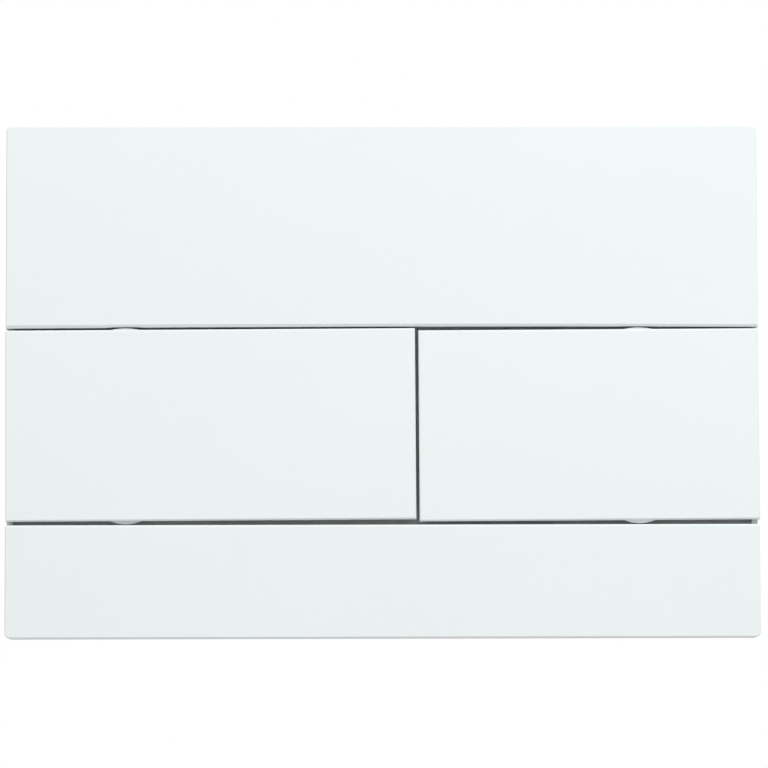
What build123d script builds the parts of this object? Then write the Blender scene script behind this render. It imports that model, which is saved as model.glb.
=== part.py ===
from build123d import *
import os
from math import asin, cos, radians, sin, tan

# Dual-flush button plate for a cistern built into a wall.
# The origin is the middle of the plate on the finished wall: +X right, +Z up, +Y into the wall.
# Sizes are millimetres. A depth is a distance in front of the wall, a reach is one behind it.

# Face of the plate
plate_width = 220.0
plate_height = 150.0
button_split = 10.2
button_height = 55.9
bottom_panel_height = 32.9
low_gap = 1.25
top_gap = 0.7
button_gap = 1.0
panel_bow = 0.35
corner_round = 1.5
edge_bevel = 0.3
gap_bevel = 0.62
button_round = 0.6
lip_height = 0.42
lip_depth = 0.8

# Moulded walls of the panels and buttons
front_wall = 1.8
rim_wall = 1.8
panel_lift = 0.6
button_rim = 3.0
rib_wall = 1.2
panel_rib_height = 1.8

# Pivots: each button rocks on an upright pin and hangs a little out of square on it
pivot_inset = 35.0
hinge_below_face = 4.4
boss_chord = 9.0
boss_rise = 0.55
boss_drop = 0.9
boss_setback = 1.2
button_lean = 0.25
press_depth = 4.5
pin_radius = 1.0
pin_overhang = 0.5
lug_inset = 5.85
lug_thickness = 4.0
ear_thickness = 4.0

# Clearances
running_gap = 0.3
bore_gap = 0.05
seat_gap = 0.2
axial_gap = 0.6
rest_gap = 0.3

# Carrier frame
web_thickness = 2.0
floor_thickness = 1.0
carrier_gap = 0.25
carrier_round = 2.0
end_wall = 1.8
end_wall_gap = 0.7
end_wall_inset = 0.3
window_gap = 1.5
web_rib_height = 2.6

# Return springs: bowed steel strips behind the buttons
spring_from_rod = 23.0
spring_width = 8.0
spring_thickness = 0.4
spring_span = 34.0
spring_foot = 5.0
spring_margin = 1.0
stop_height = 1.0

# Rubber buffer strips under the tails of the buttons
buffer_inset = 7.0
buffer_length = 40.0
buffer_width = 4.0
buffer_height = 2.3
buffer_crown = 0.8
channel_height = 1.2

# Push rods
rod_spacing = 44.0
rod_radius = 3.0
rod_reach = 58.0
spigot_radius = 2.5
spigot_length = 10.0
rod_head_width = 10.0
rod_head_height = 3.0
rod_head_rise = 1.3
rod_head_socket = 1.5
locknut_flats = 9.0
locknut_height = 2.4
rod_gap = 0.06
thread_gap = 0.05

# Mounting frame in the wall opening
frame_side_inset = 12.0
frame_end_inset = 11.0
frame_thickness = 2.0
frame_round = 6.0
flange_height = 16.0
opening_round = 4.0
collar_wall = 1.8
collar_reach = 8.0
bar_width = 11.0
bar_thickness = 3.0
guide_tail = 6.0
tab_height = 20.0
tab_lip = 5.0
slot_length = 11.0
frame_slot_length = 30.0
frame_slot_width = 7.0

# Snap hooks: the panels hold on to the carrier, and the carrier on to the mounting frame
hook_width = 9.0
hook_wall = 1.6
hook_barb = 1.0
hook_flex = 1.4
hook_spacing = 70.0
hook_inset = 8.0
clip_x = 60.0
clip_nose = 1.8

# Fixing bolts and nuts
bolt_spacing = 116.0
bolt_radius = 3.0
bolt_depth = 0.4
stud_radius = 4.0
stud_reach = 50.0
bolt_slot = 1.2
nut_radius = 6.0
nut_height = 4.0

# Places across the face
half_width = plate_width / 2
half_height = plate_height / 2
row_space = low_gap + button_height + top_gap
row_low = -half_height + bottom_panel_height
row_high = row_low + row_space
row_middle = (row_low + row_high) / 2
row_z = row_low + low_gap + button_height / 2
top_panel_height = half_height - row_high
pivot_x = half_width - pivot_inset
rod_x = rod_spacing / 2
rod_arm = pivot_x - rod_x
spring_x = rod_x + spring_from_rod
full_reach = pivot_x + button_split - button_gap / 2
partial_reach = pivot_x - button_split - button_gap / 2
buffer_x = half_width - buffer_inset
tail_arm = buffer_x - pivot_x

# Depths in front of the wall
web_back = frame_thickness + seat_gap
web_front = web_back + web_thickness
floor_front = web_back + floor_thickness
button_back = floor_front + running_gap + press_depth
plate_depth = button_back + button_rim
front_inner = plate_depth - front_wall
hinge_depth = plate_depth - hinge_below_face
buffer_front = web_front + buffer_height
rod_head_front = hinge_depth - seat_gap
rod_head_back = rod_head_front - rod_head_height
locknut_back = rod_head_back - locknut_height

# Hinge sizes that follow from the walls around the pins
lug_radius = hinge_depth - web_front - running_gap
ear_radius = front_inner - hinge_depth - running_gap
lug_z = button_height / 2 - lug_inset
ear_z = lug_z - lug_thickness / 2 - axial_gap - ear_thickness / 2
rib_back = hinge_depth + pin_radius + running_gap
rib_spacing = 2 * (ear_z - ear_thickness / 2 - axial_gap) - rib_wall
pin_length = 2 * (lug_z + lug_thickness / 2 + pin_overhang)
lug_bore = pin_radius + bore_gap + pin_length / 2 * tan(radians(button_lean))
lug_mouth = 1.7 * pin_radius

# Carrier and mounting frame that follow from what they hold
carrier_half_width = half_width - rim_wall - carrier_gap
carrier_half_height = half_height - rim_wall - carrier_gap
end_half_width = half_width - end_wall_inset
end_height = row_space - 2 * carrier_gap
recess_half_width = spring_x + spring_width / 2 + spring_margin
stop_z = spring_span / 2 + spring_foot + seat_gap + rib_wall / 2
channel_arm = buffer_width / 2 + seat_gap + rib_wall / 2
bolt_x = bolt_spacing / 2
frame_width = plate_width - 2 * frame_side_inset
frame_height = plate_height - 2 * frame_end_inset
opening_height = frame_height - 2 * flange_height
collar_inner_width = 2 * (bolt_x + nut_radius + 2 * seat_gap)
collar_inner_height = opening_height - 2 * collar_wall
opening_width = collar_inner_width + 2 * collar_wall
full_angle = asin(press_depth / full_reach)
partial_angle = asin(press_depth / partial_reach)
rod_travel = rod_arm * max(full_angle, partial_angle)
guide_front = rod_travel + running_gap - locknut_back
guide_back = max(collar_reach, guide_front) + guide_tail
clip_z = (opening_height + flange_height) / 2
clip_seat = web_front + seat_gap
hook_row = (frame_height / 2 + carrier_half_height) / 2
hook_column = (frame_width / 2 + carrier_half_width) / 2


def panel_hooks(inner_z, outward):
    """Three hooks along the outer edge of a panel and two beside the buttons: place and direction."""
    row = [((x, outward * hook_row), (0, 0, outward)) for x in (-hook_spacing, 0, hook_spacing)]
    ends = [((side * hook_column, inner_z + outward * hook_inset), (side, 0, 0)) for side in (-1, 1)]
    return row + ends


top_hooks = panel_hooks(row_high, 1)
bottom_hooks = panel_hooks(row_low, -1)
frame_clips = [((x, side * clip_z), (0, 0, side)) for side in (-1, 1) for x in (-clip_x, clip_x)]

os.makedirs("parts", exist_ok=True)


def save(builder, label):
    """Label a finished piece and write it."""
    builder.part.label = label
    export_step(builder.part, f"parts/{label}.step")


def hook_plane(place, outward):
    """The plane of a snap hook's profile: outward is its x, depth is its y."""
    across = Vector(*outward).cross(Vector(0, -1, 0))
    return Plane(origin=(place[0], 0, place[1]), x_dir=outward, z_dir=across)


def hook_profile(root, seat, tip):
    """A barbed tongue that runs from its root through a slot to its tip, given as depths."""
    face = hook_wall / 2
    barb = face + hook_barb
    nose = [(face, tip), (barb, seat + (tip - seat) / 3), (barb, seat), (face, seat)]
    return [(-face, root), (-face, tip), *nose, (face, root)]


# Cover panels: trays whose rim stands on the carrier along the buttons
def cover_panel(label, inner_z, height, outward, hooks, bow=0.0):
    # The edge along the buttons may be bowed away from them
    middle_z = inner_z + outward * height / 2
    with BuildPart() as panel:
        with BuildSketch(Plane.XZ.offset(panel_lift)) as outline:
            with Locations((0, middle_z)):
                Rectangle(plate_width, height)
            rows = outline.vertices().group_by(Axis.Y)
            fillet(rows[-1] if outward > 0 else rows[0], corner_round)
            if bow:
                with BuildLine():
                    chord = Line((-half_width, inner_z), (half_width, inner_z))
                    ThreePointArc(chord @ 0, (0, inner_z + outward * bow), chord @ 1)
                make_face(mode=Mode.SUBTRACT)
        extrude(amount=plate_depth - panel_lift)
        edges = panel.faces().sort_by(Axis.Y)[0].edges().sort_by(Axis.Z)
        chamfer(edges[0] if outward > 0 else edges[-1], gap_bevel)
        edges = panel.faces().sort_by(Axis.Y)[0].edges().sort_by(Axis.Z)
        chamfer(edges[1:] if outward > 0 else edges[:-1], edge_bevel)
        with BuildSketch(Plane.XZ.offset(panel_lift)):
            with Locations((0, middle_z)):
                Rectangle(plate_width - 2 * rim_wall, height - 2 * rim_wall)
        extrude(amount=front_inner - panel_lift, mode=Mode.SUBTRACT)
        with BuildSketch(Plane.XZ.offset(panel_lift)):
            with Locations((0, inner_z + outward * rim_wall / 2)):
                Rectangle(plate_width - 2 * rim_wall, rim_wall)
        extrude(amount=web_front - panel_lift, mode=Mode.SUBTRACT)
        with BuildSketch(Plane.XZ.offset(front_inner - panel_rib_height)):
            with Locations((0, middle_z)):
                Rectangle(plate_width - 2 * rim_wall, rib_wall)
                with GridLocations(half_width / 2, 0, 3, 1):
                    Rectangle(rib_wall, height - 2 * rim_wall)
        extrude(amount=panel_rib_height)
        for place, direction in hooks:
            with BuildSketch(hook_plane(place, direction)):
                with BuildLine():
                    Polyline(*hook_profile(front_inner, web_back - seat_gap, panel_lift), close=True)
                make_face()
            extrude(amount=hook_width / 2, both=True)
    save(panel, label)


cover_panel("top_panel", row_high, top_panel_height, 1, top_hooks, panel_bow)
cover_panel("bottom_panel", row_low, bottom_panel_height, -1, bottom_hooks)


# Flush buttons: rocker trays with pivot bosses on their edges, snap-in lugs, a push pad and a tail rib
def flush_button(label, pivot, toward, reach):
    along = (cos(radians(button_lean)), 0, sin(radians(button_lean)))
    upward = (-sin(radians(button_lean)), 0, cos(radians(button_lean)))
    inner_x = toward * reach
    outer_x = -toward * pivot_inset
    left, right = min(inner_x, outer_x), max(inner_x, outer_x)
    middle_x = (left + right) / 2
    half_chord = boss_chord / 2
    top = button_height / 2

    def face_plane(depth):
        return Plane(origin=(pivot, -depth, row_z), x_dir=along, z_dir=(0, -1, 0))

    with BuildPart() as button:
        with BuildSketch(face_plane(button_back)):
            with Locations((middle_x, 0)):
                Rectangle(right - left, button_height)
        extrude(amount=button_rim)
        edges = button.faces().sort_by(Axis.Y)[0].edges().sort_by(Axis.X)
        chamfer((edges[0], edges[-1]), edge_bevel)
        front = button.faces().sort_by(Axis.Y)[0]
        chamfer(front.edges().sort_by(Axis.Z)[0], lip_height, lip_depth, reference=front)
        fillet(button.faces().sort_by(Axis.Y)[0].edges().sort_by(Axis.Z)[-1], button_round)
        for edge_z, crest_z in ((top, top + boss_rise), (-top, -top - boss_drop)):
            root_z = edge_z * (1 - rim_wall / button_height)
            with BuildSketch(face_plane(button_back)):
                with BuildLine():
                    right_end, left_end = (half_chord, edge_z), (-half_chord, edge_z)
                    Polyline(right_end, (half_chord, root_z), (-half_chord, root_z), left_end)
                    ThreePointArc(left_end, (0, crest_z), right_end)
                make_face()
            extrude(amount=button_rim - boss_setback)
        with BuildSketch(face_plane(button_back)):
            with Locations((middle_x, 0)):
                Rectangle(right - left - 2 * rim_wall, button_height - 2 * rim_wall)
        extrude(amount=front_inner - button_back, mode=Mode.SUBTRACT)
        with BuildSketch(face_plane(rib_back)):
            with Locations((middle_x, 0)):
                with GridLocations(0, rib_spacing, 1, 2):
                    Rectangle(right - left - 2 * rim_wall, rib_wall)
            with Locations((toward * rod_arm, 0)):
                Rectangle(rib_wall, button_height - 2 * rim_wall)
        extrude(amount=front_inner - rib_back)
        with BuildSketch(face_plane(hinge_depth)):
            with Locations((toward * rod_arm, 0)):
                Rectangle(rod_head_width, rod_head_width)
        extrude(amount=front_inner - hinge_depth)
        with BuildSketch(face_plane(buffer_front + rest_gap)):
            with Locations((-toward * tail_arm, 0)):
                Rectangle(buffer_width / 2, buffer_length)
        extrude(amount=front_inner - buffer_front - rest_gap)
        hinge_plane = Plane(origin=(pivot, -hinge_depth, row_z), x_dir=along, z_dir=upward)
        for side in (-1, 1):
            with BuildSketch(hinge_plane.offset(side * lug_z - lug_thickness / 2)):
                Circle(lug_radius)
                with Locations((0, (hinge_depth - front_inner) / 2)):
                    Rectangle(2 * lug_radius, front_inner - hinge_depth)
                Circle(lug_bore, mode=Mode.SUBTRACT)
                with Locations((0, lug_radius)):
                    Rectangle(lug_mouth, 2 * lug_radius, mode=Mode.SUBTRACT)
            extrude(amount=lug_thickness)
    save(button, label)


flush_button("full_flush_button", -pivot_x, 1, full_reach)
flush_button("partial_flush_button", pivot_x, -1, partial_reach)

# Carrier frame: a web inside the panel rims with a recess that the buttons sink into and a wall at each end
with BuildPart() as carrier_frame:
    with BuildSketch(Plane.XZ.offset(web_back)):
        RectangleRounded(2 * carrier_half_width, 2 * carrier_half_height, carrier_round)
        with Locations((0, row_middle)):
            Rectangle(2 * end_half_width, end_height)
    extrude(amount=web_thickness)
    with BuildSketch(Plane.XZ.offset(floor_front)):
        with Locations((0, row_middle)):
            Rectangle(2 * recess_half_width, row_space)
    extrude(amount=web_front - floor_front, mode=Mode.SUBTRACT)
    with BuildSketch(Plane.XZ.offset(floor_front)):
        with Locations((0, row_z)):
            with GridLocations(2 * spring_x, 2 * stop_z, 2, 2):
                Rectangle(spring_width, rib_wall)
    extrude(amount=stop_height)
    with BuildSketch(Plane.XZ.offset(web_front)):
        for side in (-1, 1):
            with Locations((side * buffer_x, row_z)):
                with GridLocations(2 * channel_arm, 0, 2, 1):
                    Rectangle(rib_wall, buffer_length)
    extrude(amount=channel_height)
    with BuildSketch(Plane.XZ.offset(panel_lift)):
        with Locations((0, row_middle)):
            with GridLocations(2 * end_half_width - end_wall, 0, 2, 1):
                Rectangle(end_wall, end_height)
    extrude(amount=button_back - end_wall_gap - panel_lift)
    with BuildSketch(Plane.XZ.offset(web_front)):
        for rib_z in (clip_z - 2 * hook_width, hook_width - clip_z):
            with Locations((0, rib_z)):
                Rectangle(frame_width - 2 * hook_width, rib_wall)
    extrude(amount=web_rib_height)
    for pivot in (-pivot_x, pivot_x):
        for side in (-1, 1):
            with BuildSketch(Plane.XY.offset(row_z + side * ear_z - ear_thickness / 2)):
                with Locations((pivot, -hinge_depth)):
                    Circle(ear_radius)
                with Locations((pivot, -(hinge_depth + web_front) / 2)):
                    Rectangle(2 * ear_radius, hinge_depth - web_front)
                with Locations((pivot, -hinge_depth)):
                    Circle(pin_radius + bore_gap, mode=Mode.SUBTRACT)
            extrude(amount=ear_thickness)
    with BuildSketch(Plane.XZ.offset(web_back)):
        with Locations((-rod_x, row_z), (rod_x, row_z)):
            Rectangle(rod_head_width + 2 * window_gap, rod_head_width + 2 * window_gap)
        slot_long = hook_width + 2 * seat_gap
        slot_deep = hook_wall + hook_flex + seat_gap
        slot_shift = (seat_gap - hook_flex) / 2
        for (x, z), (out_x, _, out_z) in top_hooks + bottom_hooks + frame_clips:
            with Locations((x + out_x * slot_shift, z + out_z * slot_shift)):
                Rectangle(slot_long, slot_deep, rotation=90 * abs(out_x))
    extrude(amount=web_thickness, mode=Mode.SUBTRACT)
save(carrier_frame, "carrier_frame")

# Mounting frame: a flange on the wall with a collar, rod guides and slotted tabs in the wall opening
with BuildPart() as mounting_frame:
    with BuildSketch(Plane.XZ):
        RectangleRounded(frame_width, frame_height, frame_round)
        RectangleRounded(collar_inner_width, collar_inner_height, opening_round, mode=Mode.SUBTRACT)
        with GridLocations(frame_width - 3 * frame_slot_width, opening_height / 2, 2, 2):
            Rectangle(frame_slot_width, frame_slot_length, mode=Mode.SUBTRACT)
        with GridLocations(0, 2 * clip_z, 1, 2):
            Rectangle(2 * frame_slot_length, frame_slot_width, mode=Mode.SUBTRACT)
    extrude(amount=frame_thickness)
    with BuildSketch(Plane.XZ.offset(-collar_reach)):
        RectangleRounded(opening_width, opening_height, opening_round + collar_wall)
        RectangleRounded(collar_inner_width, collar_inner_height, opening_round, mode=Mode.SUBTRACT)
    extrude(amount=collar_reach + frame_thickness)
    with BuildSketch(Plane.XZ.offset(-collar_reach)):
        with GridLocations(2 * rod_x, 0, 2, 1):
            Rectangle(bar_width, opening_height - collar_wall)
        with GridLocations(opening_width - tab_lip - 2 * nut_radius - collar_wall, 0, 2, 1):
            Rectangle(tab_lip + 2 * nut_radius, tab_height)
        with GridLocations(2 * bolt_x, 0, 2, 1):
            Rectangle(slot_length, 2 * (bolt_radius + running_gap), mode=Mode.SUBTRACT)
    extrude(amount=bar_thickness)
    with BuildSketch(Plane.XZ.offset(-guide_back)):
        with Locations((-rod_x, row_z), (rod_x, row_z)):
            Rectangle(bar_width, bar_width)
    extrude(amount=guide_back - guide_front)
    with BuildSketch(Plane.XZ.offset(-guide_back)):
        with Locations((-rod_x, row_z), (rod_x, row_z)):
            Circle(rod_radius + rod_gap)
    extrude(amount=guide_back, mode=Mode.SUBTRACT)
    for place, direction in frame_clips:
        with BuildSketch(hook_plane(place, direction)):
            with BuildLine():
                Polyline(*hook_profile(frame_thickness / 2, clip_seat, clip_seat + clip_nose), close=True)
            make_face()
        extrude(amount=hook_width / 2, both=True)
save(mounting_frame, "mounting_frame")


# Hinge pin, return spring and buffer of one button
def hinge_pin(label, pivot):
    with BuildPart() as pin:
        with BuildSketch(Plane.XY.offset(row_z - pin_length / 2)):
            with Locations((pivot, -hinge_depth)):
                Circle(pin_radius)
        extrude(amount=pin_length)
    save(pin, label)


def return_spring(label, middle_x):
    # A bow that stands on two feet, with its crown against the back of the button's face
    half_span = spring_span / 2
    toe = half_span + spring_foot
    low = floor_front + bore_gap
    step = low + spring_thickness
    crown = front_inner - bore_gap
    with BuildPart() as spring:
        with BuildSketch(Plane(origin=(middle_x, 0, row_z), x_dir=(0, 0, 1), z_dir=(1, 0, 0))):
            with BuildLine():
                Polyline((-half_span, low), (-toe, low), (-toe, step), (-half_span, step))
                ThreePointArc((-half_span, step), (0, crown), (half_span, step))
                Polyline((half_span, step), (toe, step), (toe, low), (half_span, low))
                ThreePointArc((half_span, low), (0, crown - spring_thickness), (-half_span, low))
            make_face()
        extrude(amount=spring_width / 2, both=True)
    save(spring, label)


def stop_buffer(label, middle_x):
    left = middle_x - buffer_width / 2
    right = middle_x + buffer_width / 2
    shoulder = buffer_front - buffer_crown
    with BuildPart() as buffer:
        with BuildSketch(Plane.XY.offset(row_z)):
            with BuildLine():
                Polyline((right, -shoulder), (right, -web_front), (left, -web_front), (left, -shoulder))
                ThreePointArc((left, -shoulder), (middle_x, -buffer_front), (right, -shoulder))
            make_face()
        extrude(amount=buffer_length / 2, both=True)
    save(buffer, label)


# Push rod with its crowned head and locknut
def push_rod(label, middle_x):
    rod_front = rod_head_back + rod_head_socket
    with BuildPart() as rod:
        with BuildSketch(Plane.XZ.offset(rod_front)):
            with Locations((middle_x, row_z)):
                Circle(rod_radius)
        extrude(amount=-(rod_front + rod_reach))
        with BuildSketch(Plane.XZ.offset(-rod_reach)):
            with Locations((middle_x, row_z)):
                Circle(spigot_radius)
        extrude(amount=-spigot_length)
    save(rod, label)


def rod_head(label, middle_x):
    # The crown runs across the way the button rocks, so the button rolls on it
    left = middle_x - rod_head_width / 2
    right = middle_x + rod_head_width / 2
    shoulder = rod_head_front - rod_head_rise
    with BuildPart() as head:
        with BuildSketch(Plane.XY.offset(row_z)):
            with BuildLine():
                left_end, right_end = (left, -shoulder), (right, -shoulder)
                Polyline(right_end, (right, -rod_head_back), (left, -rod_head_back), left_end)
                ThreePointArc(left_end, (middle_x, -rod_head_front), right_end)
            make_face()
        extrude(amount=rod_head_width / 2, both=True)
        with BuildSketch(Plane.XZ.offset(rod_head_back)):
            with Locations((middle_x, row_z)):
                Circle(rod_radius + thread_gap)
        extrude(amount=rod_head_socket + thread_gap, mode=Mode.SUBTRACT)
    save(head, label)


def rod_locknut(label, middle_x):
    with BuildPart() as nut:
        with BuildSketch(Plane.XZ.offset(locknut_back)):
            with Locations((middle_x, row_z)):
                RegularPolygon(locknut_flats / 2, 6, major_radius=False)
                Circle(rod_radius + thread_gap, mode=Mode.SUBTRACT)
        extrude(amount=locknut_height)
    save(nut, label)


for flush, side in (("full_flush", -1), ("partial_flush", 1)):
    hinge_pin(f"{flush}_hinge_pin", side * pivot_x)
    return_spring(f"{flush}_return_spring", side * spring_x)
    stop_buffer(f"{flush}_stop_buffer", side * buffer_x)
    push_rod(f"{flush}_push_rod", side * rod_x)
    rod_head(f"{flush}_rod_head", side * rod_x)
    rod_locknut(f"{flush}_rod_locknut", side * rod_x)


# Fixing bolts to the cistern and their nuts in front of the tabs
def fixing_bolt(label, middle_x):
    # The thick rear stud shoulders against the tab, so the nut clamps the tab between them
    with BuildPart() as bolt:
        with BuildSketch(Plane.XZ.offset(bolt_depth)):
            with Locations((middle_x, 0)):
                Circle(bolt_radius)
        extrude(amount=-(bolt_depth + collar_reach))
        with BuildSketch(Plane.XZ.offset(-collar_reach)):
            with Locations((middle_x, 0)):
                Circle(stud_radius)
        extrude(amount=collar_reach - stud_reach)
        with BuildSketch(Plane.XZ.offset(bolt_depth)):
            with Locations((middle_x, 0)):
                Rectangle(2 * bolt_radius, bolt_slot)
        extrude(amount=-bolt_slot, mode=Mode.SUBTRACT)
    save(bolt, label)


def fixing_nut(label, middle_x):
    tab_front = collar_reach - bar_thickness
    with BuildPart() as nut:
        with BuildSketch(Plane.XZ.offset(-tab_front)):
            with Locations((middle_x, 0)):
                RegularPolygon(nut_radius, 6)
                Circle(bolt_radius + thread_gap, mode=Mode.SUBTRACT)
        extrude(amount=nut_height)
    save(nut, label)


for hand, side in (("left", -1), ("right", 1)):
    fixing_bolt(f"{hand}_fixing_bolt", side * bolt_x)
    fixing_nut(f"{hand}_fixing_nut", side * bolt_x)
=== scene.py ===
from math import cos, pi, radians, sin

import bmesh
import bpy
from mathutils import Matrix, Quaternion, Vector


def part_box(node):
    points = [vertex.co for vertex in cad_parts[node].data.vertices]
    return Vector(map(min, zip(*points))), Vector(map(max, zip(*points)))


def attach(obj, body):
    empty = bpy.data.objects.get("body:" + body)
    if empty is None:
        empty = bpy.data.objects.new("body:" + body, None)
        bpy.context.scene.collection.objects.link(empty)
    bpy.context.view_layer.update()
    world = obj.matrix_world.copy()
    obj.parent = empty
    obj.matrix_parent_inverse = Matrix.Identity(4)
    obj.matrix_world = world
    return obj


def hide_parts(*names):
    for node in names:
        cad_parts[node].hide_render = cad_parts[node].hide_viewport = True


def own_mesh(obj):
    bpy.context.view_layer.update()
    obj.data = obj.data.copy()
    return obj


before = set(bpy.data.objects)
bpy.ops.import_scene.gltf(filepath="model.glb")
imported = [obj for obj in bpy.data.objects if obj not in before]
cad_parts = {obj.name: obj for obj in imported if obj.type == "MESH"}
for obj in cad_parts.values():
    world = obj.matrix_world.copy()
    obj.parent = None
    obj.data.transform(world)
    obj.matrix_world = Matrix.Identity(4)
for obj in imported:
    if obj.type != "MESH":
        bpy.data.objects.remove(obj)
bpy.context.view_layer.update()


# Mounting frame: the dark rear frame that lies on the wall round the service opening.
# One glass-filled moulding with a collar, two rod guides and four snap clips; its edges are slightly rounded
# and its walls carry the matt, finely sparked skin of the mould.

def add(tree, kind, *inputs, **settings):
    """Add a node, give it its settings, and link or set its inputs in their order."""
    node = tree.nodes.new(kind)
    for setting, value in settings.items():
        setattr(node, setting, value)
    for socket, value in zip(node.inputs, inputs):
        if isinstance(value, bpy.types.NodeSocket):
            tree.links.new(value, socket)
        elif value is not None:
            socket.default_value = value
    return node


def between(tree, noise, low, high):
    """A value that follows a noise from low to high."""
    noise_low, noise_high = 0.3, 0.7
    return add(tree, "ShaderNodeMapRange", noise, noise_low, noise_high, low, high).outputs["Result"]


def finish_of(name, light, dark, cloud, rough, grain, relief, stretch=(1, 1, 1), metallic=0.0):
    """A finish with clouded colour, uneven gloss and a fine grain, on the piece's own coordinates."""
    cloud_detail, cloud_roughness = 3.0, 0.55
    grain_detail, grain_roughness = 2.0, 0.6
    bump_strength = 0.5
    material = bpy.data.materials.new(name)
    material.use_nodes = True
    tree = material.node_tree
    shader = tree.nodes["Principled BSDF"]
    place = add(tree, "ShaderNodeTexCoord").outputs["Object"]
    drawn = add(tree, "ShaderNodeMapping", place, None, None, stretch).outputs["Vector"]
    clouds = add(tree, "ShaderNodeTexNoise", drawn, None, cloud, cloud_detail, cloud_roughness).outputs["Fac"]
    tint = add(tree, "ShaderNodeMix", between(tree, clouds, 0.0, 1.0), data_type="RGBA")
    tint.inputs["A"].default_value = (*dark, 1)
    tint.inputs["B"].default_value = (*light, 1)
    tree.links.new(tint.outputs["Result"], shader.inputs["Base Color"])
    skin = add(tree, "ShaderNodeTexNoise", drawn, None, grain, grain_detail, grain_roughness).outputs["Fac"]
    tree.links.new(between(tree, skin, *rough), shader.inputs["Roughness"])
    bump = add(tree, "ShaderNodeBump", bump_strength, relief, None, skin)
    tree.links.new(bump.outputs["Normal"], shader.inputs["Normal"])
    shader.inputs["Metallic"].default_value = metallic
    return material


def baked(mesh, *settings):
    """The mesh after modifiers, each given as its kind and its settings."""
    blank = bpy.data.objects.new("blank", mesh)
    bpy.context.scene.collection.objects.link(blank)
    for kind, values in settings:
        modifier = blank.modifiers.new(kind.lower(), kind)
        for name, value in values.items():
            setattr(modifier, name, value)
    bpy.context.view_layer.update()
    result = bpy.data.meshes.new_from_object(blank.evaluated_get(bpy.context.evaluated_depsgraph_get()))
    bpy.data.objects.remove(blank)
    return result


def merged(node, flat_angle):
    """A copy of a node's shape, with its loose triangles merged into whole faces."""
    shape = bmesh.new()
    shape.from_mesh(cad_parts[node].data)
    bmesh.ops.remove_doubles(shape, verts=shape.verts, dist=1e-6)
    bmesh.ops.dissolve_limit(shape, angle_limit=flat_angle, verts=shape.verts, edges=shape.edges)
    return shape


def as_mesh(name, shape):
    """The mesh of a finished shape, without the normals of a node that it was copied from."""
    mesh = bpy.data.meshes.new(name)
    shape.to_mesh(mesh)
    shape.free()
    if "custom_normal" in mesh.attributes:
        mesh.attributes.remove(mesh.attributes["custom_normal"])
    return mesh


rounded_corner = radians(32)


def shade(mesh, corner=rounded_corner):
    """Shade a mesh smooth up to its corners."""
    mesh.shade_smooth()
    mesh.set_sharp_from_angle(angle=corner)


def softened(node, edge_round):
    """A copy of a moulded node with its edges rounded and its flat faces shaded flat."""
    copy = as_mesh(node, merged(node, flat_angle=radians(1)))
    rounded = baked(copy, ("BEVEL", {"width": edge_round, "segments": 2, "limit_method": "ANGLE",
                                     "angle_limit": radians(40)}))
    shade(rounded)
    return baked(rounded, ("WEIGHTED_NORMAL", {"keep_sharp": True}))


def smooth_piece(name, mesh, material, body, slot, *nodes, corner=rounded_corner):
    """A finished piece: shaded smooth up to its corners, riding on its body in place of CAD nodes."""
    mesh.materials.clear()
    mesh.materials.append(material)
    shade(mesh, corner)
    piece = bpy.data.objects.new(name, mesh)
    bpy.context.scene.collection.objects.link(piece)
    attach(piece, body)
    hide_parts(*nodes)
    return piece


frame_grey = finish_of("frame_grey", light=(0.072, 0.076, 0.080), dark=(0.055, 0.058, 0.062), cloud=45,
                       rough=(0.42, 0.62), grain=1700, relief=1e-4)
smooth_piece("frame_moulding", softened("mounting_frame", edge_round=0.00025), frame_grey, "plate", "frame_grey",
             "mounting_frame")


# Fixing bolts and nuts: natural plastic studs that screw into the cistern, each with a thick rear thread that
# shoulders against the frame's tab and a thinner front thread, slotted for a screwdriver, for the blue hex nut.
# Both threads and the nuts' chamfers are moulded.

def group(name, **inputs):
    """An empty node tree with named inputs; returns the tree and its inputs' sockets."""
    kinds = {float: "NodeSocketFloat", int: "NodeSocketInt", tuple: "NodeSocketVector"}
    tree = bpy.data.node_groups.new(name, "GeometryNodeTree")
    for title, value in inputs.items():
        socket = tree.interface.new_socket(title, in_out="INPUT", socket_type=kinds[type(value)])
        socket.default_value = value
    tree.interface.new_socket("Finish", in_out="INPUT", socket_type="NodeSocketMaterial")
    tree.interface.new_socket("Geometry", in_out="OUTPUT", socket_type="NodeSocketGeometry")
    return tree, tree.nodes.new("NodeGroupInput").outputs


def close_group(tree, geometry, place, turn, material):
    """End a tree as every one here ends: put in its place, made real, with its finish set."""
    laid = add(tree, "GeometryNodeTransform", geometry, place)
    laid.inputs["Rotation"].default_value = turn
    real = add(tree, "GeometryNodeRealizeInstances", laid.outputs["Geometry"]).outputs["Geometry"]
    done = add(tree, "GeometryNodeSetMaterial", real, None, material).outputs["Geometry"]
    tree.links.new(done, tree.nodes.new("NodeGroupOutput").inputs["Geometry"])


def grown(tree, material, **sizes):
    """The plain mesh that a node tree makes for these sizes."""
    seed = bpy.data.objects.new("seed", bpy.data.meshes.new("seed"))
    bpy.context.scene.collection.objects.link(seed)
    modifier = seed.modifiers.new("tree", "NODES")
    modifier.node_group = tree
    for item in tree.interface.items_tree:
        if item.in_out == "INPUT":
            modifier[item.identifier] = material if item.name == "Finish" else sizes[item.name]
    bpy.context.view_layer.update()
    mesh = bpy.data.meshes.new_from_object(seed.evaluated_get(bpy.context.evaluated_depsgraph_get()))
    seed.modifiers.remove(modifier)
    bpy.data.objects.remove(seed)
    return mesh


def maths(tree, operation, *values):
    """What a sum, product or other operation gives for these values."""
    return add(tree, "ShaderNodeMath", *values, operation=operation).outputs["Value"]


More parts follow.
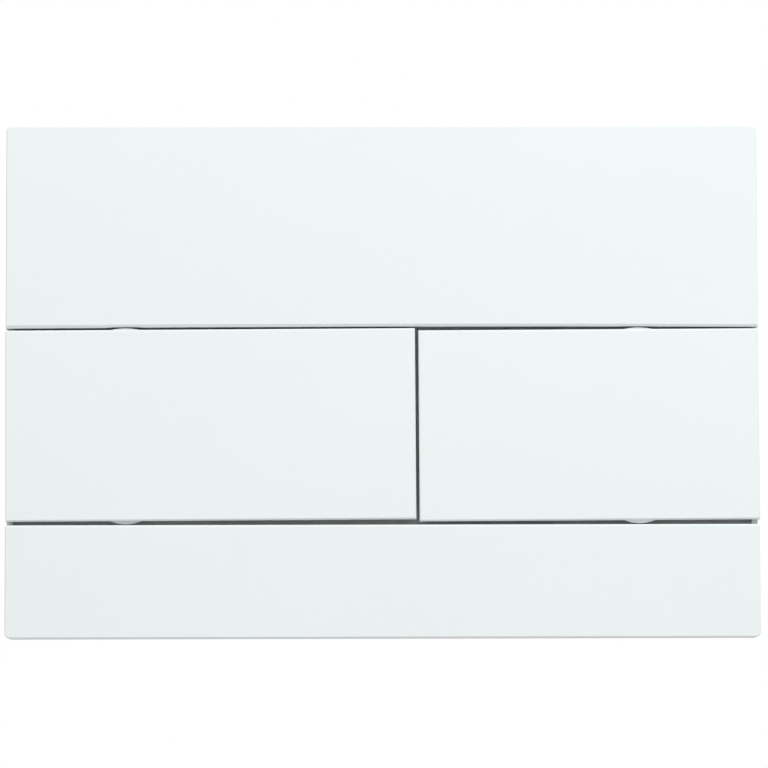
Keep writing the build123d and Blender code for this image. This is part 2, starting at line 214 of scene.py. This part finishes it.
def ramp(tree, value, start, end, low=0.0, high=1.0):
    """A value that runs from low to high while the given one runs from start to end, and stays there."""
    return add(tree, "ShaderNodeMapRange", value, start, end, low, high).outputs["Result"]


def spot_of(tree):
    """The three coordinates of a point before it is moved."""
    return add(tree, "ShaderNodeSeparateXYZ", add(tree, "GeometryNodeInputPosition").outputs[0]).outputs


def thread_wave(tree, turn, height, pitch):
    """A trapezoid thread: 0 in the root and 1 on the crest."""
    root_end, crest_start = 0.10, 0.40
    lead = maths(tree, "DIVIDE", height, pitch)
    wave = maths(tree, "PINGPONG", maths(tree, "SUBTRACT", turn, lead), 0.5)
    return ramp(tree, wave, root_end, crest_start)


def end_fade(tree, height, length, reach):
    """0 at both ends of a length, rising to 1 at this reach from them."""
    half = maths(tree, "MULTIPLY", length, 0.5)
    return ramp(tree, maths(tree, "SUBTRACT", half, maths(tree, "ABSOLUTE", height)), 0.0, reach)


# A stem along +Y whose thread fades out at both ends
along_y = (-pi / 2, 0, 0)
stem_tree, size = group("threaded_stem", Middle=(0.0, 0.0, 0.0), Length=0.04, Crest=0.004, Depth=0.0004,
                        Pitch=0.0015, Sides=40, Rings=200)
stem = add(stem_tree, "GeometryNodeMeshCylinder", size["Sides"], size["Rings"], 1, size["Crest"], size["Length"],
           fill_type="NGON").outputs["Mesh"]
spot = spot_of(stem_tree)
turn = maths(stem_tree, "DIVIDE", maths(stem_tree, "ARCTAN2", spot["Y"], spot["X"]), 2 * pi)
crest = maths(stem_tree, "MULTIPLY", thread_wave(stem_tree, turn, spot["Z"], size["Pitch"]),
              end_fade(stem_tree, spot["Z"], size["Length"], size["Pitch"]))
cut = maths(stem_tree, "MULTIPLY", maths(stem_tree, "SUBTRACT", 1.0, crest), size["Depth"])
share = maths(stem_tree, "SUBTRACT", 1.0, maths(stem_tree, "DIVIDE", cut, size["Crest"]))
carved = add(stem_tree, "ShaderNodeCombineXYZ", maths(stem_tree, "MULTIPLY", spot["X"], share),
             maths(stem_tree, "MULTIPLY", spot["Y"], share), spot["Z"]).outputs["Vector"]
threaded = add(stem_tree, "GeometryNodeSetPosition", stem, None, carved).outputs["Geometry"]
close_group(stem_tree, threaded, size["Middle"], along_y, size["Finish"])


def threaded_stem(x, z, front, back, crest, depth, pitch, material):
    """A threaded stem along Y through (x, z)."""
    sides, rings_a_turn = 40, 10
    return grown(stem_tree, material, Middle=(x, (front + back) / 2, z), Length=back - front, Crest=crest,
                 Depth=depth, Pitch=pitch, Sides=sides, Rings=round((back - front) / pitch * rings_a_turn))


# A hex nut along Y: one closed skin that runs up its flats, over its face, down its threaded bore and back.
# Its corners are cut by a cone at both ends.
points_around, points_along = 73, 61
flats_end, face_end, bore_end = 0.4, 0.5, 0.9
cut_height, cone_start, cone_spread = 0.05, 1.02, 0.15
nut_tree, size = group("hex_nut", Middle=(0.0, 0.0, 0.0), Flats=0.009, Height=0.0024, Bore=0.003, Depth=0.0003,
                       Pitch=0.0015)
skin = add(nut_tree, "GeometryNodeMeshGrid", 1.0, 1.0, points_around, points_along).outputs["Mesh"]
spot = spot_of(nut_tree)
turn = spot["X"]
way = maths(nut_tree, "ADD", spot["Y"], 0.5)
rise = maths(nut_tree, "SUBTRACT", ramp(nut_tree, way, 0.0, flats_end), ramp(nut_tree, way, face_end, bore_end))
height = maths(nut_tree, "MULTIPLY", maths(nut_tree, "SUBTRACT", rise, 0.5), size["Height"])
inward = maths(nut_tree, "SUBTRACT", ramp(nut_tree, way, flats_end, face_end), ramp(nut_tree, way, bore_end, 1.0))
apothem = maths(nut_tree, "MULTIPLY", size["Flats"], 0.5)
sixth = maths(nut_tree, "MODULO", maths(nut_tree, "ADD", turn, 1.0), 1 / 6)
from_flat = maths(nut_tree, "MULTIPLY", maths(nut_tree, "SUBTRACT", sixth, 1 / 12), 2 * pi)
hexagon = maths(nut_tree, "DIVIDE", apothem, maths(nut_tree, "COSINE", from_flat))
corner_cut = end_fade(nut_tree, height, size["Height"], maths(nut_tree, "MULTIPLY", size["Flats"], cut_height))
cone = maths(nut_tree, "MULTIPLY", apothem,
             maths(nut_tree, "ADD", cone_start, maths(nut_tree, "MULTIPLY", corner_cut, cone_spread)))
outside = maths(nut_tree, "MINIMUM", hexagon, cone)
groove = maths(nut_tree, "MULTIPLY", thread_wave(nut_tree, turn, height, size["Pitch"]), size["Depth"])
bore = maths(nut_tree, "ADD", size["Bore"], groove)
radius = maths(nut_tree, "ADD", maths(nut_tree, "MULTIPLY", outside, maths(nut_tree, "SUBTRACT", 1.0, inward)),
               maths(nut_tree, "MULTIPLY", bore, inward))
angle = maths(nut_tree, "MULTIPLY", turn, 2 * pi)
wrapped = add(nut_tree, "ShaderNodeCombineXYZ",
              maths(nut_tree, "MULTIPLY", radius, maths(nut_tree, "COSINE", angle)),
              maths(nut_tree, "MULTIPLY", radius, maths(nut_tree, "SINE", angle)), height).outputs["Vector"]
shaped = add(nut_tree, "GeometryNodeSetPosition", skin, None, wrapped).outputs["Geometry"]
sealed = add(nut_tree, "GeometryNodeMergeByDistance", shaped, None, 1e-7).outputs["Geometry"]
close_group(nut_tree, sealed, size["Middle"], along_y, size["Finish"])


def hex_nut(node, bore, pitch, material):
    """A hex nut of a node's size, in its place."""
    groove_depth = 0.0003
    low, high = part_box(node)
    return grown(nut_tree, material, Middle=tuple((low + high) / 2), Flats=min(high.x - low.x, high.z - low.z),
                 Height=high.y - low.y, Bore=bore, Depth=groove_depth, Pitch=pitch)


def joined(*meshes):
    """One mesh from several closed ones."""
    whole = bmesh.new()
    for mesh in meshes:
        whole.from_mesh(mesh)
    return as_mesh("joined", whole)


def slotted(mesh, place, size):
    """The mesh with a screwdriver slot cut across it."""
    block = bmesh.new()
    bmesh.ops.create_cube(block, size=1.0)
    bmesh.ops.scale(block, vec=size, verts=block.verts)
    bmesh.ops.translate(block, vec=place, verts=block.verts)
    cutter = bpy.data.objects.new("cutter", as_mesh("cutter", block))
    bpy.context.scene.collection.objects.link(cutter)
    result = baked(mesh, ("TRIANGULATE", {}),
                   ("BOOLEAN", {"object": cutter, "operation": "DIFFERENCE", "solver": "EXACT"}))
    bpy.data.objects.remove(cutter)
    return result


def turned(outline, x, z):
    """A closed solid turned along Y through (x, z), from (radius, y) points with both ends on the axis."""
    lathe = bmesh.new()
    profile = [lathe.verts.new((x + radius, y, z)) for radius, y in outline]
    edges = [lathe.edges.new(pair) for pair in zip(profile, profile[1:])]
    bmesh.ops.spin(lathe, geom=profile + edges, cent=(x, 0, z), axis=(0, 1, 0), angle=2 * pi, steps=40)
    bmesh.ops.remove_doubles(lathe, verts=lathe.verts, dist=1e-7)
    bmesh.ops.recalc_face_normals(lathe, faces=lathe.faces)
    return as_mesh("turned", lathe)


bolt_natural = finish_of("bolt_natural", light=(0.62, 0.61, 0.56), dark=(0.56, 0.55, 0.50), cloud=120,
                         rough=(0.34, 0.46), grain=2200, relief=2e-5)
nut_blue = finish_of("nut_blue", light=(0.028, 0.085, 0.205), dark=(0.022, 0.070, 0.175), cloud=160,
                     rough=(0.36, 0.48), grain=2400, relief=2e-5)
front_radius, front_pitch, front_depth = 0.003, 0.00125, 0.0004
slot_length, slot_depth, slot_width = 0.010, 0.0012, 0.0012
stud_pitch, stud_depth = 0.0025, 0.0009
shoulder_front, shoulder_back = 0.008, 0.0095
shoulder_middle = (shoulder_front + shoulder_back) / 2
for hand in ("left", "right"):
    low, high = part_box(f"{hand}_fixing_bolt")
    x, z = (low.x + high.x) / 2, (low.z + high.z) / 2
    stud_radius = (high.x - low.x) / 2
    front = threaded_stem(x, z, low.y, shoulder_middle, front_radius, front_depth, front_pitch, bolt_natural)
    front = slotted(front, (x, low.y, z), (slot_length, 2 * slot_depth, slot_width))
    shoulder = turned([(0, shoulder_front), (stud_radius, shoulder_front), (stud_radius, shoulder_back),
                       (0, shoulder_back)], x, z)
    stud = threaded_stem(x, z, shoulder_middle, high.y, stud_radius, stud_depth, stud_pitch, bolt_natural)
    smooth_piece(f"{hand}_bolt_threads", joined(front, shoulder, stud), bolt_natural, "plate", "bolt_plastic",
                 f"{hand}_fixing_bolt")
    nut = hex_nut(f"{hand}_fixing_nut", front_radius, front_pitch, nut_blue)
    smooth_piece(f"{hand}_hex_nut", nut, nut_blue, "plate", "nut_plastic", f"{hand}_fixing_nut")


# Carrier frame: the white moulding clipped on to the mounting frame. It carries the hinge ears, the spring
# stops and the buffer channels, and the panels snap into its slots.
carrier_white = finish_of("carrier_white", light=(0.74, 0.76, 0.75), dark=(0.70, 0.72, 0.71), cloud=40,
                          rough=(0.42, 0.55), grain=2600, relief=3e-5)
smooth_piece("carrier_moulding", softened("carrier_frame", edge_round=0.0002), carrier_white, "plate",
             "carrier_white", "carrier_frame")


# Hinge pins: drawn steel wire with draw lines along it, cut to length, chamfered at both ends and pushed
# through the carrier's ears.
pin_steel = finish_of("pin_steel", light=(0.60, 0.61, 0.62), dark=(0.50, 0.51, 0.52), cloud=900,
                      rough=(0.22, 0.34), grain=3000, relief=4e-6, stretch=(1, 1, 0.04), metallic=1.0)
for flush in ("full_flush", "partial_flush"):
    smooth_piece(f"{flush}_pin_wire", softened(f"{flush}_hinge_pin", edge_round=0.0002), pin_steel, "plate",
                 "pin_steel", f"{flush}_hinge_pin")


# Return springs: strips of rolled spring steel with rounded edges, bowed between two stops on the carrier, the
# crown against the back of a button. Pressing the button flattens the bow towards the carrier.
spring_steel = finish_of("spring_steel", light=(0.52, 0.52, 0.53), dark=(0.42, 0.42, 0.43), cloud=500,
                         rough=(0.20, 0.34), grain=2600, relief=4e-6, stretch=(1, 1, 0.05), metallic=1.0)

# A strip along Z that stands on two feet; the bow between them is an arc that bulges towards -Y
path_points, easing_steps = 121, 4
edge_points, edge_share = 3, 0.45
strip_tree, size = group("bowed_strip", Foot=(0.0, 0.0, 0.0), Length=0.044, Span=0.034, Rise=0.0055, Width=0.008,
                         Thickness=0.0004)
half_length = maths(strip_tree, "MULTIPLY", size["Length"], 0.5)
half_span = maths(strip_tree, "MULTIPLY", size["Span"], 0.5)
start = add(strip_tree, "ShaderNodeCombineXYZ", 0.0, 0.0, maths(strip_tree, "MULTIPLY", half_length, -1.0))
end = add(strip_tree, "ShaderNodeCombineXYZ", 0.0, 0.0, half_length)
line = add(strip_tree, "GeometryNodeCurvePrimitiveLine", start.outputs["Vector"], end.outputs["Vector"])
path = add(strip_tree, "GeometryNodeResampleCurve", line.outputs["Curve"], None, path_points).outputs["Curve"]
spot = spot_of(strip_tree)
squares = maths(strip_tree, "ADD", maths(strip_tree, "POWER", size["Rise"], 2.0),
                maths(strip_tree, "POWER", half_span, 2.0))
bow_radius = maths(strip_tree, "DIVIDE", squares, maths(strip_tree, "MULTIPLY", size["Rise"], 2.0))
chord = maths(strip_tree, "SUBTRACT", maths(strip_tree, "POWER", bow_radius, 2.0),
              maths(strip_tree, "POWER", spot["Z"], 2.0))
arc = maths(strip_tree, "SUBTRACT", maths(strip_tree, "SQRT", chord),
            maths(strip_tree, "SUBTRACT", bow_radius, size["Rise"]))
lift = maths(strip_tree, "MAXIMUM", arc, 0.0)
bowed = add(strip_tree, "ShaderNodeCombineXYZ", 0.0, maths(strip_tree, "MULTIPLY", lift, -1.0), spot["Z"])
eased = add(strip_tree, "GeometryNodeBlurAttribute", data_type="FLOAT_VECTOR")
strip_tree.links.new(bowed.outputs["Vector"], eased.inputs["Value"])
eased.inputs["Iterations"].default_value = easing_steps
bend = add(strip_tree, "GeometryNodeSetPosition", path, None, eased.outputs["Value"]).outputs["Geometry"]
facing = add(strip_tree, "GeometryNodeSetCurveNormal", bend, mode="FREE")
facing.inputs["Normal"].default_value = (1, 0, 0)
section = add(strip_tree, "GeometryNodeCurvePrimitiveQuadrilateral", size["Width"], size["Thickness"])
edge = maths(strip_tree, "MULTIPLY", size["Thickness"], edge_share)
rolled = add(strip_tree, "GeometryNodeFilletCurve", section.outputs["Curve"], edge_points, edge,
             mode="POLY").outputs["Curve"]
strip = add(strip_tree, "GeometryNodeCurveToMesh", facing.outputs["Curve"], rolled, 1.0, True).outputs["Mesh"]
close_group(strip_tree, strip, size["Foot"], (0, 0, 0), size["Finish"])

spring_span, spring_thickness = 0.034, 0.0004
for flush, keep in (("full_flush", 0.70), ("partial_flush", 0.60)):
    low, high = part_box(f"{flush}_return_spring")
    middle = (low + high) / 2
    mesh = grown(strip_tree, spring_steel, Foot=(middle.x, high.y - spring_thickness / 2, middle.z),
                 Length=high.z - low.z, Span=spring_span, Rise=high.y - low.y - spring_thickness,
                 Width=high.x - low.x, Thickness=spring_thickness)
    spring = smooth_piece(f"{flush}_spring_strip", mesh, spring_steel, "plate", "spring_steel",
                          f"{flush}_return_spring")
    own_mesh(spring)


# Stop buffers: extruded strips of black rubber, cut to length and pressed into the carrier's channels under the
# tails of the buttons, which come to rest on their crowns.
buffer_rubber = finish_of("buffer_rubber", light=(0.020, 0.020, 0.021), dark=(0.012, 0.012, 0.012), cloud=220,
                          rough=(0.62, 0.80), grain=1800, relief=6e-5)
for flush in ("full_flush", "partial_flush"):
    smooth_piece(f"{flush}_buffer_strip", softened(f"{flush}_stop_buffer", edge_round=0.0003), buffer_rubber,
                 "plate", "buffer_rubber", f"{flush}_stop_buffer")


# Push rods: natural plastic rods, threaded over their length and ending in a plain spigot for the valve lever.
# A crowned cap, screwed on to the front of each to set its length, is locked by a thin blue nut.
rod_natural = finish_of("rod_natural", light=(0.62, 0.61, 0.56), dark=(0.57, 0.56, 0.51), cloud=120,
                        rough=(0.32, 0.44), grain=2200, relief=2e-5)
spigot_radius, spigot_length, spigot_chamfer, spigot_root = 0.0025, 0.010, 0.0004, 0.0005
rod_pitch = 0.002
for flush, body in (("full_flush", "full_rod"), ("partial_flush", "partial_rod")):
    low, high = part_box(f"{flush}_push_rod")
    x, z = (low.x + high.x) / 2, (low.z + high.z) / 2
    rod_radius = (high.x - low.x) / 2
    rod_end = high.y - spigot_length
    shank = threaded_stem(x, z, low.y, rod_end, rod_radius, rod_radius - spigot_radius, rod_pitch, rod_natural)
    spigot = turned([(0, rod_end - spigot_root), (spigot_radius, rod_end - spigot_root),
                     (spigot_radius, high.y - spigot_chamfer), (spigot_radius - spigot_chamfer, high.y),
                     (0, high.y)], x, z)
    smooth_piece(f"{flush}_threaded_rod", joined(shank, spigot), rod_natural, body, "rod_plastic",
                 f"{flush}_push_rod")
    smooth_piece(f"{flush}_rod_cap", softened(f"{flush}_rod_head", edge_round=0.0003), rod_natural, body,
                 "head_plastic", f"{flush}_rod_head")
    nut = hex_nut(f"{flush}_rod_locknut", rod_radius, rod_pitch, nut_blue)
    smooth_piece(f"{flush}_thin_nut", nut, nut_blue, body, "nut_plastic", f"{flush}_rod_locknut")


# Flush buttons: satin white rocker trays with bevelled front edges, snapped on to the hinge pins.
# The lens-shaped bosses over and under each pivot are moulded with the tray, and the lower one lies further back
# than the upper one, most on the wide button.
satin_white = finish_of("satin_white", light=(0.842, 0.889, 0.893), dark=(0.832, 0.879, 0.883), cloud=14,
                        rough=(0.38, 0.46), grain=3200, relief=8e-6)
face_angle, bevel_corner = radians(0.02), radians(12)
boss_half, boss_height, boss_setback, setback_slack = 0.0048, 0.0010, 0.0012, 0.0001
pivots = []
for flush, body, boss_sink in (("full_flush", "full_button", 0.0012),
                               ("partial_flush", "partial_button", 0.0004)):
    low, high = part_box(f"{flush}_button")
    pivot = sum(corner.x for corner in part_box(f"{flush}_hinge_pin")) / 2
    pivots.append(pivot)
    tray = merged(f"{flush}_button", face_angle)
    for vertex in tray.verts:
        across, depth, rise = abs(vertex.co.x - pivot), vertex.co.y - low.y, vertex.co.z - low.z
        if across < boss_half and rise < boss_height and abs(depth - boss_setback) < setback_slack:
            vertex.co.y += boss_sink
    smooth_piece(f"{flush}_tray", as_mesh(f"{flush}_tray", tray), satin_white, body, "front_white",
                 f"{flush}_button", corner=bevel_corner)


# Cover panels: satin white trays above and below the buttons, hooked into the carrier.
# The top panel's lower edge comes down close to the buttons, most at its left end, and leaves a shallow arch over
# each pivot boss. The bottom panel keeps its CAD shape.
bottom_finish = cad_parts["bottom_panel"].data.materials
bottom_finish.clear()
bottom_finish.append(satin_white)

left_drop, right_drop = 0.00020, 0.00004
arch_crown, arch_end, arch_cuts = 0.0030, 0.0058, 6
edge_bow = 0.00045
panel_low, panel_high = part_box("top_panel")


def edge_drop(x):
    """How far the lower edge of the top panel comes down at x."""
    along = (x - panel_low.x) / (panel_high.x - panel_low.x)
    away = min(abs(x - pivot) for pivot in pivots)
    share = min(max((away - arch_crown) / (arch_end - arch_crown), 0.0), 1.0)
    return (left_drop + (right_drop - left_drop) * along) * share ** 2 * (3 - 2 * share)


cover = merged("top_panel", face_angle)
for pivot in pivots:
    for cut in range(-arch_cuts, arch_cuts + 1):
        bmesh.ops.bisect_plane(cover, geom=cover.verts[:] + cover.edges[:] + cover.faces[:], dist=1e-7,
                               plane_co=(pivot + cut / arch_cuts * arch_end, 0, 0), plane_no=(1, 0, 0))
for vertex in cover.verts:
    if vertex.co.z < panel_low.z + edge_bow:
        vertex.co.z -= edge_drop(vertex.co.x)
smooth_piece("top_cover", as_mesh("top_cover", cover), satin_white, "plate", "front_white", "top_panel",
             corner=bevel_corner)


# Studio: a plain pale floor well below the plate, a white surround that is brightest before and above it,
# a large soft light from the upper right, and a second one that shows the back.
floor_half, floor_level = 4, -0.30
floor_mesh = bpy.data.meshes.new("floor")
floor_mesh.from_pydata([(-floor_half, -floor_half, floor_level), (floor_half, -floor_half, floor_level),
                        (floor_half, floor_half, floor_level), (-floor_half, floor_half, floor_level)],
                       [], [(0, 1, 2, 3)])
floor_mesh.materials.append(finish_of("pale_floor", light=(0.66, 0.66, 0.66), dark=(0.64, 0.64, 0.64), cloud=6,
                                      rough=(0.7, 0.8), grain=300, relief=1e-5))
floor = bpy.data.objects.new("floor", floor_mesh)
bpy.context.scene.collection.objects.link(floor)

world = bpy.data.worlds.new("surround")
world.use_nodes = True
bpy.context.scene.world = world
bpy.context.scene.view_settings.view_transform = "Standard"
surround = world.node_tree
brightest = Vector((0.30, -0.80, 0.52)).normalized()
least_glow, most_glow = 0.235, 0.99
heading = add(surround, "ShaderNodeTexCoord").outputs["Generated"]
towards = add(surround, "ShaderNodeVectorMath", heading, brightest, operation="DOT_PRODUCT").outputs["Value"]
glow = ramp(surround, towards, -1.0, 1.0, least_glow, most_glow)
seen = add(surround, "ShaderNodeLightPath").outputs["Is Camera Ray"]
strength = add(surround, "ShaderNodeMix", seen, data_type="FLOAT")
surround.links.new(glow, strength.inputs["A"])
strength.inputs["B"].default_value = 1.0
surround.links.new(strength.outputs["Result"], surround.nodes["Background"].inputs["Strength"])
surround.nodes["Background"].inputs["Color"].default_value = (1, 1, 1, 1)


def soft_light(name, place, size, power):
    """A square light that points at the middle of the plate."""
    lamp = bpy.data.lights.new(name, "AREA")
    lamp.size = size
    lamp.energy = power
    light = bpy.data.objects.new(name, lamp)
    light.location = place
    light.rotation_euler = (-Vector(place)).to_track_quat("-Z", "Y").to_euler()
    bpy.context.scene.collection.objects.link(light)


soft_light("key_light", place=(0.28, -0.70, 0.75), size=0.5, power=4.30)
soft_light("rear_light", place=(-0.55, 1.00, 0.35), size=0.7, power=2.6)


# Camera: almost square on, a little below and to the left of the middle of the plate, with a long lens, as the
# photograph was taken.
distance, below, across, roll = 1.420, radians(5.0), radians(0.52), radians(-0.156)
sight = Vector((sin(across) * cos(below), cos(across) * cos(below), sin(below)))
lens = bpy.data.cameras.new("camera")
lens.lens = 226.15
lens.sensor_width = 36.0
lens.shift_x = 0.0027
lens.shift_y = -0.0002
lens.clip_end = 20.0
camera = bpy.data.objects.new("camera", lens)
camera.location = -sight * distance
camera.rotation_mode = "QUATERNION"
camera.rotation_quaternion = sight.to_track_quat("-Z", "Y") @ Quaternion((0, 0, 1), roll)
bpy.context.scene.collection.objects.link(camera)
bpy.context.scene.camera = camera
